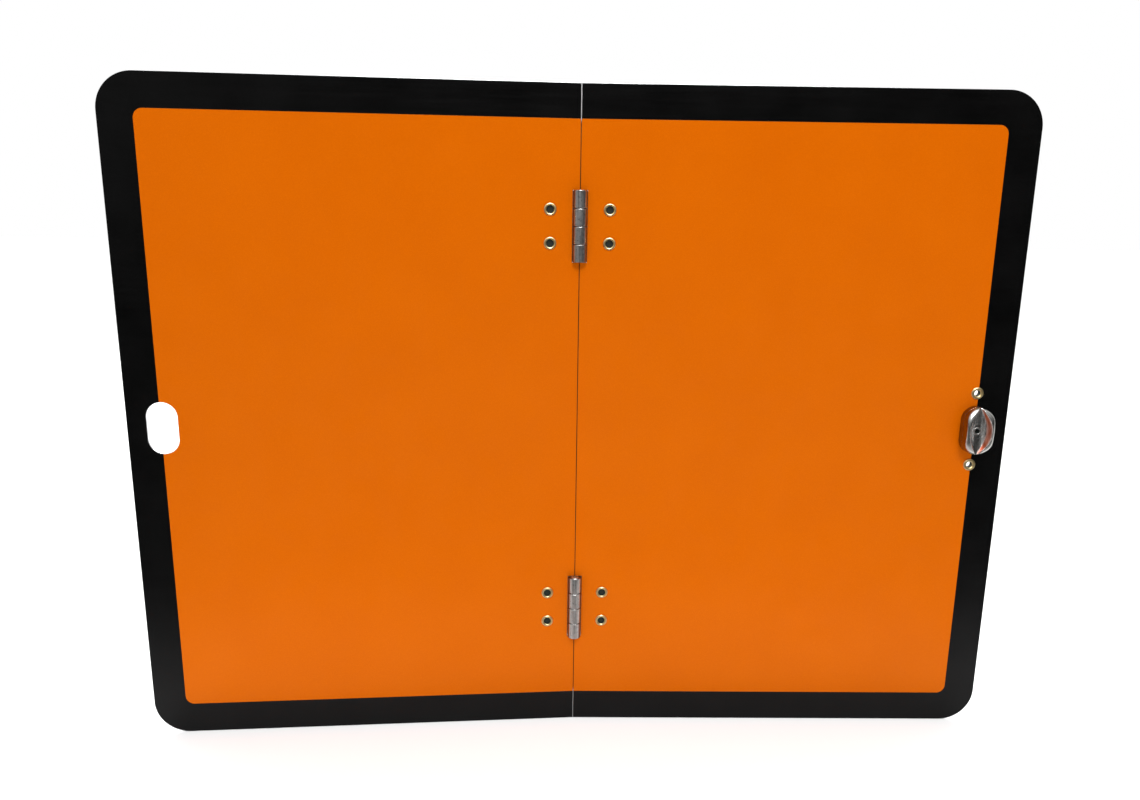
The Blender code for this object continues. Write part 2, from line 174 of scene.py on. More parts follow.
# Lock.
SLOT_W = 13.6 * MM
SLOT_H = 23.6 * MM
BUTTON_W = HEAD_HIGH.x - HEAD_LOW.x
BUTTON_H = HEAD_HIGH.z - HEAD_LOW.z
HEAD_BASE = BACK - HEAD_HIGH.y
HEAD_TOP = BACK - HEAD_LOW.y
POST_TOP = BACK - POST_LOW.y
HEAD_ROUND = 1.6 * MM
HEAD_FOOT = 0.01 * MM
CREST_TOP = HEAD_TOP - 0.8 * MM
HEAD_DROP = 2.6 * MM
HEAD_FLARE = 0.03
VALLEY_HALF_W = 5.4 * MM
VALLEY_HALF_L = 11.9 * MM
VALLEY_TAPER = 1.2
VALLEY_FLOOR = 0.62
VALLEY_FOOT = 0.5 * MM
FLOOR_MIDDLE = 5.2 * MM
FLOOR_END = 5.8 * MM
PIVOT_DRILL_R = 1.65 * MM
PIVOT_R = 1.5 * MM
DISH_R = 3.0 * MM
DISH_WALL = 0.9 * MM
DISH_DEPTH = 0.15 * MM
PIVOT_RIM_R = 1.8 * MM
PIVOT_RIM_H = 0.16 * MM
PIVOT_BORE_R = 1.15 * MM
PIVOT_BORE_DEPTH = 1.6 * MM
POST_ROUND = 0.02 * MM
BASE_ROUND = 0.2 * MM
BUTTON_ANGLES = 160
BUTTON_LOOPS = 44
WASHER_T = 0.4 * MM
WASHER_IN_R = 2.4 * MM
WASHER_OUT_R = 4.5 * MM
WASHER_SEAT_R = 4.8 * MM
WASHER_SEAT = POST_TOP - WASHER_T - GLUE
WASHER_ROUND = 0.08 * MM

ARC_STEP = math.radians(5)
TURN_STEPS = 64
WELD = 0.001 * MM
CUT_DEPTH = 30 * MM
SMOOTH_ANGLE = math.radians(38)
PLATE_SHARP = math.radians(60)
BUTTON_SHARP = math.radians(55)
# How far past a bore's radius a face still counts as lying inside it.
BORE_MARGIN = 1.01


# ---------------------------------------------------------------- outlines
def arc(cx, cy, radius, start, end):
    """Points along an arc, both ends included, no more than ARC_STEP apart."""
    count = max(2, math.ceil(abs(end - start) / ARC_STEP))
    angles = [start + (end - start) * i / count for i in range(count + 1)]
    return [(cx + radius * math.cos(a), cy + radius * math.sin(a)) for a in angles]


def rounded(corners):
    """A closed outline through corners given as (x, y, radius), each rounded by its radius."""
    outline = []
    for i, (x, y, radius) in enumerate(corners):
        here = Vector((x, y))
        to_last = (Vector(corners[i - 1][:2]) - here).normalized()
        to_next = (Vector(corners[(i + 1) % len(corners)][:2]) - here).normalized()
        if radius == 0:
            outline.append((x, y))
            continue
        half = to_last.angle(to_next) / 2
        centre = here + (to_last + to_next).normalized() * radius / math.sin(half)
        first = here + to_last * radius / math.tan(half) - centre
        last = here + to_next * radius / math.tan(half) - centre
        start = math.atan2(first.y, first.x)
        turn = math.remainder(math.atan2(last.y, last.x) - start, math.tau)
        outline += arc(centre.x, centre.y, radius, start, start + turn)
    return outline


def stadium(width, height, cx=0.0, cy=0.0):
    """A slot outline with full round ends, higher than it is wide."""
    radius = width / 2
    straight = height / 2 - radius
    top = arc(cx, cy + straight, radius, 0, math.pi)
    return top + arc(cx, cy - straight, radius, math.pi, math.tau)


def circle(x, y, radius):
    return arc(x, y, radius, 0, math.tau)[:-1]


def quarter_turn(steps):
    """Angles from 0 to a right angle."""
    return [math.pi / 2 * i / steps for i in range(steps + 1)]


def area_of(outline):
    pairs = zip(outline, outline[1:] + outline[:1])
    return sum(ax * by - bx * ay for (ax, ay), (bx, by) in pairs) / 2


def wound(outline, anticlockwise):
    """The outline, turned round if it doesn't run the way asked for."""
    return outline if (area_of(outline) > 0) == anticlockwise else outline[::-1]


def notched(near, far, top, corner, spare):
    """A half plate's outline from the fold line outwards, with notches for the two hinge barrels."""
    outline = [(near, -top, 0), (far, -top, corner), (far, top, corner), (near, top, 0)]
    for row in ("upper", "lower"):
        centre = HINGES[row] - MIDDLE_Z
        high = centre + NOTCH_HALF + spare
        low = centre - NOTCH_HALF - spare
        deep = NOTCH_X + spare
        outline += [(near, high, 0), (deep, high, 0), (deep, low, 0), (near, low, 0)]
    return rounded(outline)


def frame_outline():
    """The black border: a C that is open at the fold."""
    inner_far = FIELD_FAR + SEAM
    inner_top = FIELD_TOP + SEAM
    corner = CORNER_R - (PANEL_FAR - FILM_FAR)
    corners = [
        (FILM_NEAR, -FILM_TOP, 0),
        (FILM_FAR, -FILM_TOP, corner),
        (FILM_FAR, FILM_TOP, corner),
        (FILM_NEAR, FILM_TOP, 0),
        (FILM_NEAR, inner_top, 0),
        (inner_far, inner_top, FIELD_R),
        (inner_far, -inner_top, FIELD_R),
        (FILM_NEAR, -inner_top, 0),
    ]
    return rounded(corners)


def mirrored_x(outline):
    return [(-x, y) for x, y in outline]


def inset(outline, depth):
    """An anticlockwise outline moved inwards by depth, corner by corner."""
    moved = []
    for i, here in enumerate(outline):
        here = Vector(here)
        ahead = (Vector(outline[(i + 1) % len(outline)]) - here).normalized()
        behind = (here - Vector(outline[i - 1])).normalized()
        inward = Vector((-ahead.y, ahead.x)) + Vector((-behind.y, behind.x))
        moved.append(here + inward * depth / (1 + ahead.dot(behind)))
    return moved


# ---------------------------------------------------------------- meshes
def new_object(name, mesh, matrix, materials):
    obj = bpy.data.objects.new(name, mesh)
    bpy.context.scene.collection.objects.link(obj)
    obj.matrix_world = matrix
    mesh.materials.clear()
    for material in materials:
        mesh.materials.append(material)
    return obj


def two_tone_object(name, shell, matrix, materials, sharp_angle):
    """A smooth object whose faces keep the material numbers that they have in the shell."""
    mesh = finished_mesh(name, shell)
    numbers = [polygon.material_index for polygon in mesh.polygons]
    obj = new_object(name, mesh, matrix, materials)
    mesh.polygons.foreach_set("material_index", numbers)
    mesh.shade_smooth()
    mesh.set_sharp_from_angle(angle=sharp_angle)
    return obj


def placed(x, height, z):
    """Local XY becomes the plate's XZ and local +Z points to the front, from the back face outwards."""
    return Matrix.Translation((x, BACK - height, z)) @ TO_FRONT


def finished_mesh(name, shell):
    """The shell as a mesh. The shell is freed."""
    mesh = bpy.data.meshes.new(name)
    shell.to_mesh(mesh)
    shell.free()
    return mesh


LOCK_PLACE = placed(LOCK.x, 0, LOCK.z)


def evaluated_mesh(obj):
    graph = bpy.context.evaluated_depsgraph_get()
    return bpy.data.meshes.new_from_object(obj.evaluated_get(graph))


def plate_mesh(name, outer, holes, levels):
    """A sheet from a filled 2D curve with a bevel. levels are its two heights and its edges' rounding."""
    low, high, edge = levels
    curve = bpy.data.curves.new(name, "CURVE")
    curve.dimensions = "2D"
    curve.fill_mode = "BOTH"
    curve.extrude = (high - low) / 2 - edge
    curve.bevel_depth = edge
    curve.bevel_resolution = 2
    curve.offset = -edge
    loops = [wound(outer, True)] + [wound(hole, False) for hole in holes]
    for loop in loops:
        spline = curve.splines.new("POLY")
        spline.points.add(len(loop) - 1)
        spline.use_cyclic_u = True
        for point, (x, y) in zip(spline.points, loop):
            point.co = (x, y, 0, 1)
    guide = bpy.data.objects.new(name + "_guide", curve)
    bpy.context.scene.collection.objects.link(guide)
    mesh = evaluated_mesh(guide)
    bpy.data.objects.remove(guide)
    shell = bmesh.new()
    shell.from_mesh(mesh)
    bmesh.ops.remove_doubles(shell, verts=shell.verts, dist=WELD)
    bmesh.ops.translate(shell, verts=shell.verts, vec=(0, 0, (low + high) / 2))
    bmesh.ops.recalc_face_normals(shell, faces=shell.faces)
    shell.to_mesh(mesh)
    shell.free()
    mesh.name = name
    return mesh


def flat_shading(obj):
    """Keeps flat faces flat up to their rounded edges."""
    obj.data.shade_smooth()
    obj.data.set_sharp_from_angle(angle=PLATE_SHARP)
    weighted = obj.modifiers.new("Normals", "WEIGHTED_NORMAL")
    weighted.keep_sharp = True
    weighted.weight = 100
    return obj


def plate(name, outer, holes, levels, matrix, look):
    mesh = plate_mesh(name, outer, holes, levels)
    return flat_shading(new_object(name, mesh, matrix, [look]))


def ring_of(shell, radius, height):
    """A ring of points round the axis, or one point repeated where the radius is nothing."""
    if radius < WELD:
        return [shell.verts.new((0, 0, height))] * TURN_STEPS
    angles = [math.tau * i / TURN_STEPS for i in range(TURN_STEPS)]
    return [shell.verts.new((radius * math.cos(a), radius * math.sin(a), height)) for a in angles]


def turned(name, profile, matrix, materials, shade_core=None):
    """A turned piece, from (radius, height) points. A profile that starts on the axis is closed there.

    The optional last argument is (radius, height): faces inside both take the second material, the painted
    shade inside a bore.
    """
    shell = bmesh.new()
    rings = [ring_of(shell, radius, height) for radius, height in profile]
    pairs = list(zip(rings, rings[1:]))
    if profile[0][0] >= WELD:
        pairs.append((rings[-1], rings[0]))
    for first, second in pairs:
        for i in range(TURN_STEPS):
            j = (i + 1) % TURN_STEPS
            corners = [first[i], second[i], second[j], first[j]]
            shell.faces.new(list(dict.fromkeys(corners)))
    bmesh.ops.recalc_face_normals(shell, faces=shell.faces)
    if shade_core:
        for face in shell.faces:
            inside = all(v.co.xy.length < shade_core[0] and v.co.z < shade_core[1] for v in face.verts)
            face.material_index = int(inside)
    return two_tone_object(name, shell, matrix, materials, SMOOTH_ANGLE)


def rolled(bore, outer, seat, height):
    """The clinched ring of a tubular rivet: a half round from the bore over to its underside."""
    centre = (bore + outer) / 2
    half = (outer - bore) / 2
    steps = 12
    turns = [math.pi * (1 - i / steps) for i in range(steps + 1)]
    ring = [(centre + half * math.cos(t), seat + height * math.sin(t) ** 0.8) for t in turns]
    return ring + [(outer - 0.15 * half, seat - 0.2 * GLUE)]


def domed(radius, back, height):
    """A domed head behind the plate, from its underside down to the axis."""
    edge = 0.25 * height
    head = [(radius, back), (radius, back - edge)]
    for turn in quarter_turn(10)[1:-1]:
        head.append((radius * math.cos(turn), back - edge - (height - edge) * math.sin(turn)))
    return head + [(0, back - height)]


def cut(obj, cutters, operation="DIFFERENCE"):
    """Takes the cutters away from obj for good, or unites them with it, and removes them."""
    for cutter in cutters:
        modifier = obj.modifiers.new("Cut", "BOOLEAN")
        modifier.operation = operation
        modifier.solver = "EXACT"
        modifier.object = cutter
    mesh = evaluated_mesh(obj)
    obj.modifiers.clear()
    obj.data = mesh
    for cutter in cutters:
        bpy.data.objects.remove(cutter)


def rounded_prism(name, outline, low, high, edge):
    """An upright prism on an anticlockwise outline, with both ends rounded over."""
    foot = [(edge * (1 - math.sin(t)), low + edge * (1 - math.cos(t))) for t in quarter_turn(5)]
    levels = foot + [(depth, low + high - height) for depth, height in reversed(foot)]
    shell = bmesh.new()
    loops = []
    for depth, height in levels:
        loops.append([shell.verts.new((x, y, height)) for x, y in inset(outline, depth)])
    count = len(outline)
    for lower, upper in zip(loops, loops[1:]):
        for i in range(count):
            j = (i + 1) % count
            shell.faces.new((lower[i], lower[j], upper[j], upper[i]))
    shell.faces.new(loops[0][::-1])
    shell.faces.new(loops[-1])
    return finished_mesh(name, shell)


def cylinder_object(radius, matrix, depth=CUT_DEPTH):
    shell = bmesh.new()
    bmesh.ops.create_cone(
        shell, cap_ends=True, segments=TURN_STEPS, radius1=radius, radius2=radius, depth=depth
    )
    return new_object("cutter", finished_mesh("cutter", shell), matrix, [])


# ---------------------------------------------------------------- materials
class Nodes:
    """Short names for building one node tree."""

    def __init__(self, tree):
        self.tree = tree

    def add(self, kind, **settings):
        node = self.tree.nodes.new(kind)
        for name, value in settings.items():
            setattr(node, name, value)
        return node

    def link(self, source, target):
        self.tree.links.new(source, target)

    def math(self, operation, a, b=None, clamp=False):
        node = self.add("ShaderNodeMath", operation=operation, use_clamp=clamp)
        for socket, value in zip(node.inputs, (a, b)):
            if value is None:
                continue
            if isinstance(value, (int, float)):
                socket.default_value = value
            else:
                self.link(value, socket)
        return node.outputs[0]

    def ramp(self, value, stops):
        """A colour ramp through (position, grey or colour) stops."""
        node = self.add("ShaderNodeValToRGB")
        elements = node.color_ramp.elements
        while len(elements) < len(stops):
            elements.new(1.0)
        for element, (position, colour) in zip(elements, stops):
            element.position = position
            grey = isinstance(colour, (int, float))
            element.color = (colour, colour, colour, 1) if grey else (*colour, 1)
        self.link(value, node.inputs[0])
        return node.outputs[0]

    def parts_of(self, kind):
        """The three parts of a texture coordinate, such as Object or Normal."""
        node = self.add("ShaderNodeSeparateXYZ")
        self.link(self.add("ShaderNodeTexCoord").outputs[kind], node.inputs[0])
        return node.outputs

    def blend(self, share, first, second):
        """The first colour, and as share goes to 1 the second one. A colour is a socket or three numbers."""
        node = self.add("ShaderNodeMix", data_type="RGBA")
        self.link(share, node.inputs[0])
        for socket, colour in ((node.inputs[6], first), (node.inputs[7], second)):
            if isinstance(colour, tuple):
                socket.default_value = (*colour, 1)
            else:
                self.link(colour, socket)
        return node.outputs[2]

    def scaled(self, stretch):
        """Object coordinates in millimetres, stretched along the axes."""
        coordinates = self.add("ShaderNodeTexCoord").outputs["Object"]
        mapping = self.add("ShaderNodeMapping")
        mapping.inputs["Scale"].default_value = [s / MM for s in stretch]
        self.link(coordinates, mapping.inputs["Vector"])
        return mapping.outputs[0]

    def noise(self, stretch, scale, detail=2.0, rough=0.5):
        node = self.add("ShaderNodeTexNoise")
        node.inputs["Scale"].default_value = scale
        node.inputs["Detail"].default_value = detail
        node.inputs["Roughness"].default_value = rough
        self.link(self.scaled(stretch), node.inputs["Vector"])
        return node.outputs["Fac"]

    def cells(self, stretch, scale):
        node = self.add("ShaderNodeTexVoronoi")
        node.inputs["Scale"].default_value = scale
        self.link(self.scaled(stretch), node.inputs["Vector"])
        return node.outputs["Distance"]

    def bump(self, height, strength, distance, normal=None):
        node = self.add("ShaderNodeBump")
        node.inputs["Strength"].default_value = strength
        node.inputs["Distance"].default_value = distance
        self.link(height, node.inputs["Height"])
        if normal:
            self.link(normal, node.inputs["Normal"])
        return node.outputs[0]


def new_material(name, metallic, specular=0.5):
    material = bpy.data.materials.new(name)
    material.use_nodes = True
    nodes = Nodes(material.node_tree)
    shader = material.node_tree.nodes["Principled BSDF"]
    shader.inputs["Metallic"].default_value = metallic
    shader.inputs["Specular IOR Level"].default_value = specular
    return material, nodes, shader.inputs


EVEN = (1, 1, 1)


def orange_film_material():
    """Glossy retroreflective sheeting: beads under a clear face, with a faint orange-peel surface."""
    material, nodes, shader = new_material("orange_film", 0.0, 0.16)
    shader["Specular Tint"].default_value = (1.0, 0.7, 0.35, 1)
    beads = nodes.cells(EVEN, 3.2)
    cloud = nodes.noise(EVEN, 0.03, 3.0)
    grain = nodes.noise(EVEN, 2.2, 2.0)
    mixed = nodes.math("ADD", nodes.math("MULTIPLY", beads, 0.5), nodes.math("MULTIPLY", cloud, 0.35))
    mixed = nodes.math("ADD", mixed, nodes.math("MULTIPLY", grain, 0.35))
    deep = (0.385, 0.069, 0.0002)
    light = (0.455, 0.090, 0.0004)
    nodes.link(nodes.ramp(mixed, [(0.2, deep), (0.85, light)]), shader["Base Color"])
    rough = nodes.ramp(nodes.noise(EVEN, 0.12, 4.0), [(0.3, 0.13), (0.7, 0.2)])
    nodes.link(rough, shader["Roughness"])
    peel = nodes.bump(nodes.noise(EVEN, 1.3, 2.0), 0.12, 0.04 * MM)
    nodes.link(nodes.bump(beads, 0.10, 0.03 * MM, peel), shader["Normal"])
    return material


def black_film_material():
    """Glossy black film over the sheeting, with the same faint peel and a trace of handling marks."""
    material, nodes, shader = new_material("black_film", 0.0, 0.2)
    cloud = nodes.noise(EVEN, 0.05, 4.0)
    nodes.link(nodes.ramp(cloud, [(0.3, 0.0010), (0.7, 0.0022)]), shader["Base Color"])
    streaks = nodes.noise((0.05, 1, 1), 0.6, 3.0)
    nodes.link(nodes.ramp(streaks, [(0.35, 0.13), (0.7, 0.22)]), shader["Roughness"])
    nodes.link(nodes.bump(nodes.noise(EVEN, 1.1, 2.0), 0.12, 0.04 * MM), shader["Normal"])
    return material


def aluminium_material():
    """Mill-finish sheet: the fine grain of rolling, darker handling clouds, and a painted shade along the
    fold on the front, for the shade in the fold's groove.
    """
    material, nodes, shader = new_material("mill_aluminium", 1.0, 0.0)
    grain = nodes.noise((0.02, 1, 1.6), 2.6, 4.0, 0.65)
    cloud = nodes.noise(EVEN, 0.018, 4.0)
    tone = nodes.math("ADD", nodes.math("MULTIPLY", grain, 0.55), nodes.math("MULTIPLY", cloud, 0.45))
    clean = nodes.ramp(tone, [(0.3, (0.60, 0.61, 0.62)), (0.7, (0.84, 0.85, 0.86))])
    x, y, z = nodes.parts_of("Object")
    from_fold = nodes.math("ABSOLUTE", nodes.math("MULTIPLY", x, 1 / MM))
    from_middle = nodes.math("ABSOLUTE", nodes.math("MULTIPLY", y, 0.5 / FIELD_TOP))
    beside_fold = nodes.ramp(from_fold, [(0.3, 1.0), (0.6, 0.0)])
    in_field = nodes.ramp(from_middle, [(0.495, 1.0), (0.5, 0.45)])
    in_front = nodes.math("GREATER_THAN", z, 0.2 * PANEL_T)
    # Painted shade: a near-black, non-metallic strip along the fold on the front, inside the orange field,
    # where the groove is in shade.
    painted_fold_shade = nodes.math("MULTIPLY", nodes.math("MULTIPLY", beside_fold, in_field), in_front)
    nodes.link(nodes.math("SUBTRACT", 1.0, painted_fold_shade), shader["Metallic"])
    nodes.link(nodes.blend(painted_fold_shade, clean, (0.035, 0.022, 0.012)), shader["Base Color"])
    nodes.link(nodes.ramp(tone, [(0.3, 0.36), (0.7, 0.24)]), shader["Roughness"])
    nodes.link(nodes.bump(grain, 0.18, 0.02 * MM), shader["Normal"])
    return material


def zinc_material():
    """Zinc-plated steel strip: draw lines along the barrel, small spots, and a painted brown shade on its
    flanks.
    """
    material, nodes, shader = new_material("zinc_steel", 1.0)
    lines = nodes.noise((2.6, 0.05, 2.6), 1.0, 3.0, 0.6)
    spots = nodes.noise(EVEN, 0.9, 5.0, 0.7)
    tone = nodes.math("ADD", nodes.math("MULTIPLY", lines, 0.8), nodes.math("MULTIPLY", spots, 0.2))
    clean = nodes.ramp(tone, [(0.36, (0.30, 0.305, 0.30)), (0.62, (0.88, 0.88, 0.86))])
    # Painted shade: faces that turn sideways to the object's local Z axis take a dark brown, for the shade in
    # the hinge notches.
    facing = nodes.math("ABSOLUTE", nodes.parts_of("Normal")["Z"])
    painted_flank_shade = nodes.ramp(facing, [(0.45, 1.0), (0.72, 0.0)])
    nodes.link(nodes.blend(painted_flank_shade, clean, (0.17, 0.115, 0.08)), shader["Base Color"])
    nodes.link(nodes.ramp(spots, [(0.3, 0.26), (0.7, 0.36)]), shader["Roughness"])
    nodes.link(nodes.bump(lines, 0.25, 0.03 * MM), shader["Normal"])
    return material


def brass_material():
    """Bright brass with slight tarnish in patches."""
    material, nodes, shader = new_material("bright_brass", 1.0)
    tarnish = nodes.noise(EVEN, 0.8, 4.0, 0.6)
    tones = nodes.ramp(tarnish, [(0.3, (0.84, 0.60, 0.26)), (0.62, (1.0, 0.83, 0.46))])
    nodes.link(tones, shader["Base Color"])
    nodes.link(nodes.ramp(tarnish, [(0.3, 0.42), (0.65, 0.28)]), shader["Roughness"])
    nodes.link(nodes.bump(nodes.noise(EVEN, 3.0, 3.0), 0.15, 0.03 * MM), shader["Normal"])
    return material


def painted_bore_shade_material():
    """Painted shade: a near-black colour for the inside of a rivet's bore, where shade falls."""
    material, nodes, shader = new_material("rivet_bore_painted_shade", 0.0, 0.2)
    grain = nodes.noise(EVEN, 2.4, 4.0, 0.6)
    tones = nodes.ramp(grain, [(0.3, (0.007, 0.010, 0.008)), (0.7, (0.016, 0.021, 0.017))])
    nodes.link(tones, shader["Base Color"])
    nodes.link(nodes.ramp(grain, [(0.3, 0.5), (0.7, 0.7)]), shader["Roughness"])
    nodes.link(nodes.bump(grain, 0.4, 0.05 * MM), shader["Normal"])
    return material


def nickel_material(name, pattern, waviness, tones, painted_steep_colours, metallic):
    """Polished nickel over a casting that isn't quite even. Its steep sides take painted colours, which are
    painted shade on the outside and a painted reflection of the orange sheet on the valley walls.

    metallic has three values: along its middle, on its other flatter parts, and on its steep sides.
    """
    material, nodes, shader = new_material(name, 1.0, 0.1)
    cloud = nodes.noise(*pattern)
    fine = nodes.noise(EVEN, 2.0, 4.0, 0.6)
    bright = nodes.ramp(cloud, [(0.3, tones[0]), (0.7, tones[1])])
    # Painted shade, and in the valley a painted reflection of the orange sheet: the steep colours, laid on
    # steep faces by their normal.
    painted_steep_look = nodes.ramp(cloud, [(0.3, painted_steep_colours[0]), (0.7, painted_steep_colours[1])])
    steep = nodes.ramp(nodes.parts_of("Normal")["Z"], [(0.30, 1.0), (0.66, 0.0)])
    nodes.link(nodes.blend(steep, bright, painted_steep_look), shader["Base Color"])
    across = nodes.math("MULTIPLY", nodes.parts_of("Object")["X"], 1 / VALLEY_HALF_W)
    from_middle = nodes.math("ABSOLUTE", across)
    flatter = nodes.ramp(from_middle, [(0.16, metallic[0]), (0.38, metallic[1])])
    kept = nodes.math("MULTIPLY", flatter, nodes.math("SUBTRACT", 1.0, steep))
    nodes.link(nodes.math("ADD", kept, nodes.math("MULTIPLY", steep, metallic[2])), shader["Metallic"])
    nodes.link(nodes.ramp(fine, [(0.3, 0.14), (0.7, 0.24)]), shader["Roughness"])
    waves = nodes.bump(cloud, waviness, 0.25 * MM)
    nodes.link(nodes.bump(fine, 0.12, 0.02 * MM, waves), shader["Normal"])
    return material


def turn_lock_materials():
    """The bright outside of the lock's castings, with painted shade on its steep sides, and the button's
    valley with wear streaks along it and a painted reflection of the orange sheet on its steep walls.
    """
    even_tones = ((0.62, 0.61, 0.585), (0.76, 0.75, 0.72))
    streak_tones = ((0.12, 0.12, 0.115), (0.95, 0.95, 0.92))
    # Painted shade for the castings' steep sides.
    painted_grey_shade = ((0.21, 0.18, 0.15), (0.30, 0.26, 0.22))
    # Painted reflection of the orange sheet on the valley's steep walls, in copper-brown.
    painted_sheet_reflection = ((0.36, 0.07, 0.015), (0.50, 0.11, 0.03))
    even = (EVEN, 0.25, 3.0)
    streaked = ((1, 0.2, 1), 0.8, 3.0)
    all_metal = (1.0, 1.0, 1.0)
    part_metal = (1.0, 0.82, 0.6)
    bright = nickel_material("polished_nickel", even, 0.18, even_tones, painted_grey_shade, all_metal)
    worn_with_reflection = nickel_material("worn_nickel_painted_reflection", streaked, 0.7, streak_tones, painted_sheet_reflection, part_metal)
    return bright, worn_with_reflection


ORANGE = orange_film_material()
BLACK = black_film_material()
ALUMINIUM = aluminium_material()
ZINC = zinc_material()
BRASS = brass_material()
PAINTED_BORE_SHADE = painted_bore_shade_material()
NICKEL, WORN_NICKEL_PAINTED_REFLECTION = turn_lock_materials()


# ---------------------------------------------------------------- the object's pieces
def finish_piece(obj, body, slot, *nodes):
    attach(obj, body)
    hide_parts(*nodes)


def half_plate(word, body, turn, mirror):
    """The aluminium sheet and the two films of one half."""
    holes = []
    for row in ("upper", "lower"):
        for offset in (RIVET_HALF, -RIVET_HALF):
            holes.append(circle(RIVET_X, HINGES[row] - MIDDLE_Z + offset, DRILL_R))
    if word == "right":
        lock_holes = [circle(LOCK_X, z, DRILL_R) for z in (EYELET_Z, -EYELET_Z)]
        panel_holes = holes + lock_holes + [circle(LOCK_X, 0, PIVOT_DRILL_R)]
    else:
        panel_holes = holes + [stadium(SLOT_W, SLOT_H, LOCK_X)]
    panel = notched(PANEL_NEAR, PANEL_FAR, PANEL_TOP, CORNER_R, 0)
    matrix = turn @ placed(FOLD_X, 0, MIDDLE_Z)
    film_levels = (FRONT - (FILM_HIGH.y - FILM_LOW.y), FRONT, FILM_ROUND)
    field = notched(FILM_NEAR, FIELD_FAR, FIELD_TOP, FIELD_R, FILM_INSET)
    sheets = (
        ("panel_sheet", "panel", panel, panel_holes, (0, PANEL_T, EDGE_ROUND), ALUMINIUM, "aluminium"),
        ("orange_film", "orange_sheeting", field, holes, film_levels, ORANGE, "orange_film"),
        ("black_film", "black_border", frame_outline(), [], film_levels, BLACK, "black_film"),
    )
    for what, node, outline, gaps, levels, look, slot in sheets:
        if mirror:
            outline = mirrored_x(outline)
            gaps = [mirrored_x(gap) for gap in gaps]
        piece = plate(f"{word}_{what}", outline, gaps, levels, matrix, look)
        if what == "panel_sheet":
            slant_fold_edge(piece.data)
        else:
            lock_cut(piece, word, turn, mirror)
        finish_piece(piece, body, slot, f"{word}_{node}")


def slant_fold_edge(mesh):
    """Leans a sheet's edge at the fold, from nothing at the front to FOLD_SLANT at the back."""
    for vertex in mesh.vertices:
        if abs(vertex.co.x) < FOLD_ZONE:
            vertex.co.x -= FOLD_SLANT * (1 - vertex.co.z / PANEL_T)


def lock_cut(piece, word, turn, mirror):
    """The lock's holes lie across the seam of the two films, so they are cut from both afterwards."""
    side = -1 if mirror else 1
    if word == "right":
        places = [(EYELET_Z, DRILL_R), (-EYELET_Z, DRILL_R), (0, PIVOT_DRILL_R)]
        cutters = [
            cylinder_object(radius, turn @ placed(FOLD_X + side * LOCK_X, 0, MIDDLE_Z + z))
            for z, radius in places
        ]
    else:
        outline = stadium(SLOT_W, SLOT_H, side * LOCK_X)
        mesh = plate_mesh("slot", outline, [], (-CUT_DEPTH, CUT_DEPTH, 0.0))
        cutters = [new_object("cutter", mesh, turn @ placed(FOLD_X, 0, MIDDLE_Z), [])]
    cut(piece, cutters)
    flat_shading(piece)


def knuckle(side, low, high, matrix):
    """One knuckle, rolled from the leaf's strip, with a short tongue that reaches into the leaf."""
    inner = KNUCKLE_R - LEAF_T
    start, end = math.pi / 2, math.tau + ROLL_END
    outline = [(TONGUE, inner + TONGUE_SHY), (TONGUE, KNUCKLE_R - TONGUE_SHY)]
    outline += arc(0, 0, KNUCKLE_R, start, end)
    outline += arc(0, 0, inner, end, start)
    outline = wound([(side * x, y) for x, y in outline], True)
    mesh = rounded_prism("knuckle", outline, low, high, KNUCKLE_ROUND)
    return new_object("knuckle", mesh, matrix, [ZINC])


def leaf_knuckles(side, keeps, on_pin):
    """The knuckles that keeps counts from the top, with a little air between one and the next."""
    pitch = BARREL_H / KNUCKLES
    knuckles = []
    for count in keeps:
        high = BARREL_H / 2 - count * pitch - (KNUCKLE_GAP / 2 if count > 0 else 0)
        low = BARREL_H / 2 - (count + 1) * pitch + (KNUCKLE_GAP / 2 if count < KNUCKLES - 1 else 0)
        knuckles.append(knuckle(side, low, high, on_pin))
    return knuckles


def hinge_leaf(name, side, row, keeps, turn, body, node):
    """One leaf behind its sheet, coped round the barrel and united with its knuckles."""
    half = BARREL_H / 2
    corners = [(LEAF_NEAR, -half, 0), (LEAF_W, -half, LEAF_R), (LEAF_W, half, LEAF_R), (LEAF_NEAR, half, 0)]
    outline = [(side * x, z) for x, z in rounded(corners)]
    matrix = turn @ placed(FOLD_X, 0, HINGES[row])
    leaf = plate(name, outline, [], (-LEAF_BACK, -GLUE, LEAF_ROUND), matrix, ZINC)
    leaf.modifiers.clear()
    on_pin = turn @ Matrix.Translation((PIN_AXIS.x, PIN_AXIS.y, HINGES[row]))
    cut(leaf, [cylinder_object(COPE_R, on_pin, 2 * BARREL_H)])
    cut(leaf, leaf_knuckles(side, keeps, on_pin), "UNION")
    holes = []
    for offset in (RIVET_HALF, -RIVET_HALF):
        place = turn @ placed(FOLD_X + side * RIVET_X, 0, HINGES[row] + offset)
        holes.append(cylinder_object(DRILL_R, place))
    cut(leaf, holes)
    flat_shading(leaf)
    finish_piece(leaf, body, "zinc_steel", node)


def hinge_pin(name, row, node):
    """A straight pin with rounded ends."""
    middle_r = PIN_R - PIN_CHAMFER
    middle_h = PIN_HALF - PIN_CHAMFER
    top = [(0, PIN_HALF)]
    for turn in quarter_turn(8):
        top.append((middle_r + PIN_CHAMFER * math.sin(turn), middle_h + PIN_CHAMFER * math.cos(turn)))
    profile = top + [(radius, -height) for radius, height in reversed(top)]
    matrix = Matrix.Translation((PIN_AXIS.x, PIN_AXIS.y, HINGES[row]))
    pin = turned(name, profile, matrix, [ZINC])
    finish_piece(pin, "fixed_half", "zinc_steel", node)


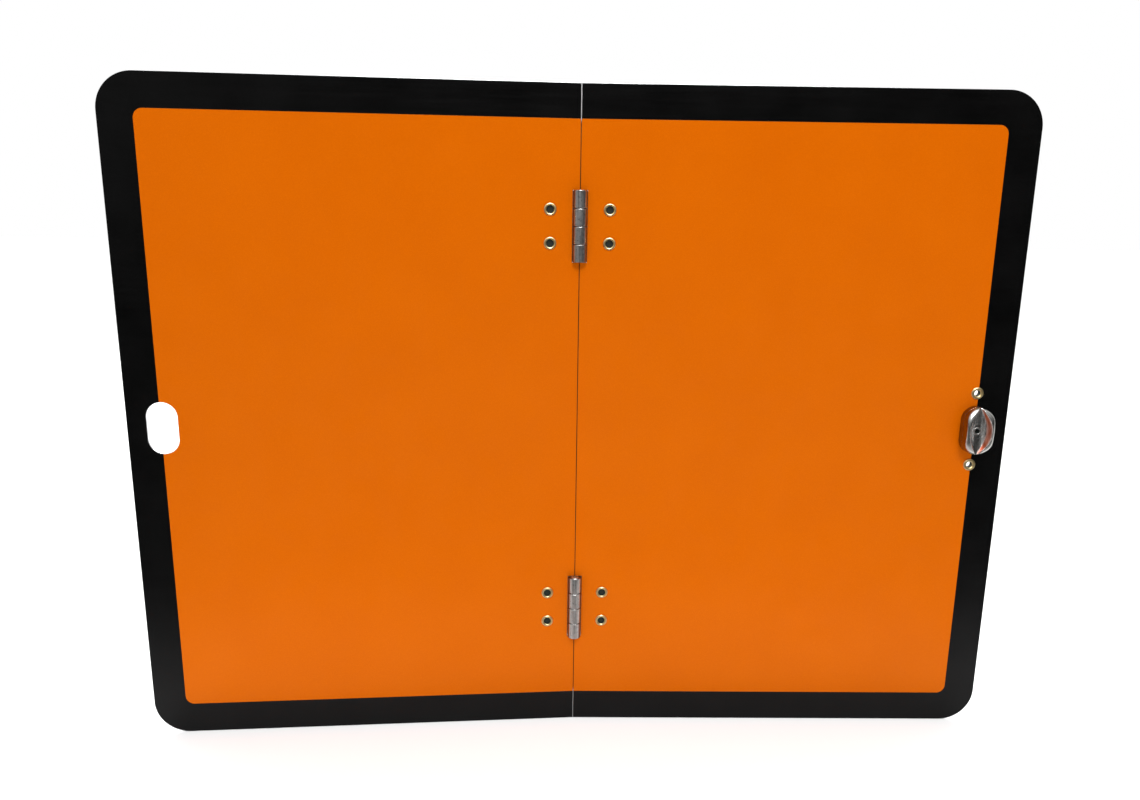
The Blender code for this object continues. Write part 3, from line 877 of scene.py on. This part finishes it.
def hinge_rivet(name, side, row, offset, turn, body, node):
    """A semi-tubular rivet: headed behind the leaf, and clinched over the film with its hollow end."""
    seat = FRONT + GLUE
    back = -LEAF_BACK - GLUE
    floor = FRONT - CORE_DEPTH
    bore = [(0, floor), (0.8 * RIVET_BORE_R, floor), (RIVET_BORE_R, floor + BORE_CONE), (RIVET_BORE_R, seat)]
    shank = [(SHANK_R, seat - 0.2 * GLUE), (SHANK_R, back)]
    profile = bore + rolled(RIVET_BORE_R, RIM_R, seat, RIM_H)[1:] + shank + domed(HEAD_R, back, HEAD_H)
    matrix = turn @ placed(FOLD_X + side * RIVET_X, 0, HINGES[row] + offset)
    # The rivet's bore takes the painted shade as its second material.
    rivet = turned(name, profile, matrix, [BRASS, PAINTED_BORE_SHADE], shade_core=(BORE_MARGIN * RIVET_BORE_R, seat + WELD))
    finish_piece(rivet, body, "brass", node)


def lock_eyelet(name, z, node):
    """A hollow rivet, open right through and rolled over at both ends."""
    front = rolled(EYELET_BORE_R, RIM_R, FRONT + GLUE, RIM_H)
    back = [(r, -h) for r, h in reversed(rolled(EYELET_BORE_R, EYELET_BACK_R, LEAF_BACK + GLUE, RIM_H))]
    profile = front + [(SHANK_R, FRONT + 0.8 * GLUE), (SHANK_R, -LEAF_BACK - 0.8 * GLUE)] + back
    # The eyelet's bore takes the painted shade as its second material.
    bore = (BORE_MARGIN * EYELET_BORE_R, FRONT + 2 * GLUE)
    eyelet = turned(name, profile, placed(LOCK.x, 0, MIDDLE_Z + z), [BRASS, PAINTED_BORE_SHADE], shade_core=bore)
    finish_piece(eyelet, "fixed_half", "brass", node)


def outline_distance(x, z):
    """How far (x, z) lies inside the button's oval outline."""
    radius = BUTTON_W / 2
    straight = BUTTON_H / 2 - radius
    return radius - math.hypot(x, max(0.0, abs(z) - straight))


def smooth(value):
    value = min(1.0, max(0.0, value))
    return value * value * (3 - 2 * value)


def valley_share(x, z):
    """How far across the valley (x, z) lies: 0 along its middle, and 1 or more outside it."""
    half_width = VALLEY_HALF_W * max(WELD, 1 - (z / VALLEY_HALF_L) ** 2) ** VALLEY_TAPER
    return abs(x) / half_width


def button_height(x, z):
    """The button's front surface: an oval, arched along its length, with a lens-shaped valley in it."""
    inside = max(0.0, outline_distance(x, z))
    end = min(1.0, abs(z) / (BUTTON_H / 2))
    crest = CREST_TOP - HEAD_DROP * end**2.2
    height = crest
    if inside < HEAD_ROUND:
        height -= HEAD_ROUND - math.sqrt(HEAD_ROUND**2 - (HEAD_ROUND - inside) ** 2)
    across = valley_share(x, z)
    if across >= 1:
        return height
    floor_height = FLOOR_MIDDLE + (FLOOR_END - FLOOR_MIDDLE) * end**2
    foot = VALLEY_FOOT * (1 - end**2) * min(1.0, across / VALLEY_FLOOR) ** 2
    dish = DISH_DEPTH * (1 - smooth((math.hypot(x, z) - DISH_R) / DISH_WALL))
    sunk = min(height, floor_height + foot - dish)
    wall = smooth((across - VALLEY_FLOOR) / (1 - VALLEY_FLOOR))
    return sunk + (height - sunk) * wall


def oval_point(angle):
    """Where a ray from the button's middle at this angle meets its oval outline."""
    radius = BUTTON_W / 2
    straight = BUTTON_H / 2 - radius
    c, s = math.cos(angle), math.sin(angle)
    if abs(s) * radius <= abs(c) * straight:
        reach = radius / abs(c)
    else:
        reach = straight * abs(s) + math.sqrt(max(0.0, radius**2 - (straight * c) ** 2))
    return reach * c, reach * s


def button_loop(shell, share, height=None):
    """Points round the button, from its bore at share 0 to the oval at 1, on its surface or at a height."""
    loop = []
    for i in range(BUTTON_ANGLES):
        angle = math.tau * i / BUTTON_ANGLES
        far_x, far_z = oval_point(angle)
        near_x, near_z = PIVOT_DRILL_R * math.cos(angle), PIVOT_DRILL_R * math.sin(angle)
        x = near_x + (far_x - near_x) * share
        z = near_z + (far_z - near_z) * share
        level = button_height(x, z) if height is None else height
        flare = 1 + HEAD_FLARE * share * (level - HEAD_BASE) / (CREST_TOP - HEAD_BASE)
        loop.append(shell.verts.new((x * flare, z, level)))
    return loop


def lock_button():
    """The sculpted turn button, as loops from the pivot bore out to the oval outline."""
    shell = bmesh.new()
    shares = [1 - (1 - i / BUTTON_LOOPS) ** 1.35 for i in range(BUTTON_LOOPS + 1)]
    loops = [button_loop(shell, share) for share in shares]
    loops.append(button_loop(shell, 1, HEAD_BASE + HEAD_FOOT))
    loops.append(button_loop(shell, 0.995, HEAD_BASE))
    loops.append(button_loop(shell, 0, HEAD_BASE))
    for first, second in zip(loops, loops[1:] + loops[:1]):
        for i in range(BUTTON_ANGLES):
            j = (i + 1) % BUTTON_ANGLES
            shell.faces.new((first[i], second[i], second[j], first[j]))
    bmesh.ops.recalc_face_normals(shell, faces=shell.faces)
    for face in shell.faces:
        middle = face.calc_center_median()
        in_valley = valley_share(middle.x, middle.y) < 1 and middle.z > HEAD_BASE + WELD
        face.material_index = int(in_valley)
    looks = [NICKEL, WORN_NICKEL_PAINTED_REFLECTION]
    button = two_tone_object("turn_button_casting", shell, LOCK_PLACE, looks, BUTTON_SHARP)
    finish_piece(button, "turn_button", "nickel", "lock_button")


def lock_post():
    """The fixed post under the button, with a seat for the washer."""
    bore = [circle(0, 0, PIVOT_DRILL_R)]
    levels = (FRONT + GLUE, POST_TOP, POST_ROUND)
    post = plate("lock_post_body", stadium(BUTTON_W, BUTTON_H), bore, levels, LOCK_PLACE, NICKEL)
    seat = placed(LOCK.x, WASHER_SEAT + CUT_DEPTH / 2, LOCK.z)
    cut(post, [cylinder_object(WASHER_SEAT_R, seat)])
    flat_shading(post)
    finish_piece(post, "fixed_half", "nickel", "lock_post")


def lock_base():
    """The plate behind the panel that the eyelets and the pivot rivet hold."""
    outline = stadium(BASE_HIGH.x - BASE_LOW.x, BASE_HIGH.z - BASE_LOW.z)
    holes = [circle(0, EYELET_Z, DRILL_R), circle(0, -EYELET_Z, DRILL_R), circle(0, 0, PIVOT_DRILL_R)]
    levels = (-LEAF_BACK, -GLUE, BASE_ROUND)
    base = plate("lock_back_plate", outline, holes, levels, LOCK_PLACE, ZINC)
    finish_piece(base, "fixed_half", "zinc_steel", "lock_base_plate")


def lock_washer():
    """The spring washer in the post's seat."""
    low, high = WASHER_SEAT + GLUE, POST_TOP
    profile = [
        (WASHER_IN_R, high - WASHER_ROUND),
        (WASHER_IN_R + WASHER_ROUND, high),
        (WASHER_OUT_R - WASHER_ROUND, high),
        (WASHER_OUT_R, high - WASHER_ROUND),
        (WASHER_OUT_R, low),
        (WASHER_IN_R, low),
    ]
    washer = turned("spring_washer", profile, LOCK_PLACE, [ZINC])
    finish_piece(washer, "fixed_half", "zinc_steel", "lock_spring_washer")


def lock_pivot():
    """The rivet that the button turns on, clinched in the valley with its hollow end."""
    seat = FLOOR_MIDDLE - DISH_DEPTH + GLUE
    back = -LEAF_BACK - GLUE
    bottom = seat - PIVOT_BORE_DEPTH
    bore = [(0, bottom), (PIVOT_BORE_R, bottom + BORE_CONE), (PIVOT_BORE_R, seat)]
    rim = rolled(PIVOT_BORE_R, PIVOT_RIM_R, seat, PIVOT_RIM_H)[1:]
    profile = bore + rim + [(PIVOT_R, seat), (PIVOT_R, back)] + domed(HEAD_R, back, HEAD_H)
    # The pivot's bore takes the painted shade as its second material.
    shade_core = (BORE_MARGIN * PIVOT_BORE_R, seat + WELD)
    pivot = turned("pivot_rivet", profile, LOCK_PLACE, [ZINC, PAINTED_BORE_SHADE], shade_core)
    finish_piece(pivot, "fixed_half", "zinc_steel", "lock_pivot_rivet")


def build_object():
    halves = (
        (1, "right", "fixed_half", FIXED, (1, 3)),
        (-1, "left", "folding_half", FOLDING, (0, 2)),
    )
    for side, word, body, turn, keeps in halves:
        half_plate(word, body, turn, side < 0)
        for row in ("upper", "lower"):
            leaf = f"{row}_hinge_{word}_leaf"
            hinge_leaf(f"{row}_{word}_rolled_leaf", side, row, keeps, turn, body, leaf)
            for place, offset in (("top", RIVET_HALF), ("bottom", -RIVET_HALF)):
                node = f"{row}_hinge_{word}_{place}_rivet"
                hinge_rivet(f"{row}_{word}_{place}_tubular_rivet", side, row, offset, turn, body, node)
    for row in ("upper", "lower"):
        hinge_pin(f"{row}_pin", row, f"{row}_hinge_pin")
    lock_eyelet("upper_brass_eyelet", EYELET_Z, "lock_upper_eyelet")
    lock_eyelet("lower_brass_eyelet", -EYELET_Z, "lock_lower_eyelet")
    lock_post()
    lock_base()
    lock_washer()
    lock_pivot()
    lock_button()


# ---------------------------------------------------------------- stage, light and camera
def floor():
    """A pale floor that the plate stands on. It is dimmer in reflections beyond its lit part in front."""
    material = bpy.data.materials.new("floor")
    material.use_nodes = True
    nodes = Nodes(material.node_tree)
    output = material.node_tree.nodes["Material Output"]
    shader = material.node_tree.nodes["Principled BSDF"]
    shader.inputs["Roughness"].default_value = 0.9
    shader.inputs["Specular IOR Level"].default_value = 0.0
    shader.inputs["Base Color"].default_value = (0.93, 0.93, 0.93, 1)
    dim = nodes.add("ShaderNodeBsdfDiffuse")
    towards_plate = nodes.math("MULTIPLY", nodes.parts_of("Object")["Y"], 5.0)
    near = nodes.math("ADD", towards_plate, 1.25, clamp=True)
    nodes.link(nodes.ramp(near, [(0.0, 0.045), (0.45, 0.13), (0.8, 0.36), (1.0, 0.55)]), dim.inputs["Color"])
    mix = nodes.add("ShaderNodeMixShader")
    nodes.link(nodes.add("ShaderNodeLightPath").outputs["Is Glossy Ray"], mix.inputs[0])
    nodes.link(shader.outputs[0], mix.inputs[1])
    nodes.link(dim.outputs[0], mix.inputs[2])
    nodes.link(mix.outputs[0], output.inputs["Surface"])
    shell = bmesh.new()
    bmesh.ops.create_grid(shell, x_segments=1, y_segments=1, size=20.0)
    bmesh.ops.translate(shell, verts=shell.verts, vec=(0, 0, cad_box[0].z - 0.02 * MM))
    mesh = finished_mesh("floor", shell)
    new_object("floor", mesh, FIXED, [material])


def world():
    """White to the camera, and a dim room with a bright ceiling and a pale wall to everything else."""
    made = bpy.data.worlds.new("studio")
    made.use_nodes = True
    bpy.context.scene.world = made
    nodes = Nodes(made.node_tree)
    background = made.node_tree.nodes["Background"]
    x, y, z = nodes.parts_of("Generated")
    aside = nodes.ramp(nodes.math("ABSOLUTE", x), [(0.15, 1.0), (0.6, 0.3)])
    ceiling = nodes.math("MULTIPLY", nodes.ramp(z, [(0.16, 0.0), (0.45, 0.7), (0.85, 1.6)]), aside)
    behind = nodes.ramp(y, [(0.0, 0.0), (0.35, 0.8)])
    left = nodes.ramp(nodes.math("MULTIPLY", x, -1.0), [(0.05, 0.0), (0.4, 0.18), (0.8, 0.3)])
    light = nodes.math("ADD", nodes.math("ADD", ceiling, behind), nodes.math("ADD", left, 0.045))
    path = nodes.add("ShaderNodeLightPath").outputs["Is Camera Ray"]
    mix = nodes.add("ShaderNodeMix", data_type="FLOAT")
    nodes.link(path, mix.inputs["Factor"])
    nodes.link(light, mix.inputs["A"])
    mix.inputs["B"].default_value = 1.0
    nodes.link(mix.outputs["Result"], background.inputs["Strength"])
    background.inputs["Color"].default_value = (1, 1, 1, 1)


def soft_light(name, place, aim, size, power):
    data = bpy.data.lights.new(name, "AREA")
    data.shape = "RECTANGLE"
    data.size, data.size_y = size
    data.energy = power
    light = bpy.data.objects.new(name, data)
    bpy.context.scene.collection.objects.link(light)
    light.location = place
    light.rotation_euler = (Vector(aim) - Vector(place)).to_track_quat("-Z", "Y").to_euler()
    light.visible_camera = False
    return light


def lights():
    """A high key, a fill for the back, and a low strip that lifts the lower edge as a lit floor does."""
    soft_light("key", (0.08, -0.85, 1.05), (-0.05, 0, 0.15), (0.5, 0.3), 12)
    soft_light("back_fill", (-0.4, 1.2, 1.0), (-0.05, 0, 0.15), (1.2, 0.8), 14)
    strip = soft_light("floor_glow", (-0.05, -0.09, 0.001), (-0.05, -0.08, 1), (0.44, 0.11), 0.26)
    strip.visible_glossy = False


def camera():
    """The view from a little left of the fold, looking slightly down."""
    data = bpy.data.cameras.new("camera")
    data.sensor_fit = "HORIZONTAL"
    data.sensor_width = 36.0
    data.lens = 25.487
    data.clip_start = 0.01
    data.clip_end = 100.0
    made = bpy.data.objects.new("camera", data)
    bpy.context.scene.collection.objects.link(made)
    right = Vector((0.9998, -0.0120, 0.0126))
    up = Vector((-0.0099, 0.2008, 0.9796))
    back = right.cross(up)
    axes = Matrix((right, up, back)).transposed().to_4x4()
    made.matrix_world = Matrix.Translation((-0.0587, -0.36435, 0.2365)) @ axes
    bpy.context.scene.camera = made


build_object()
floor()
world()
lights()
camera()
bpy.context.scene.view_settings.view_transform = "Standard"
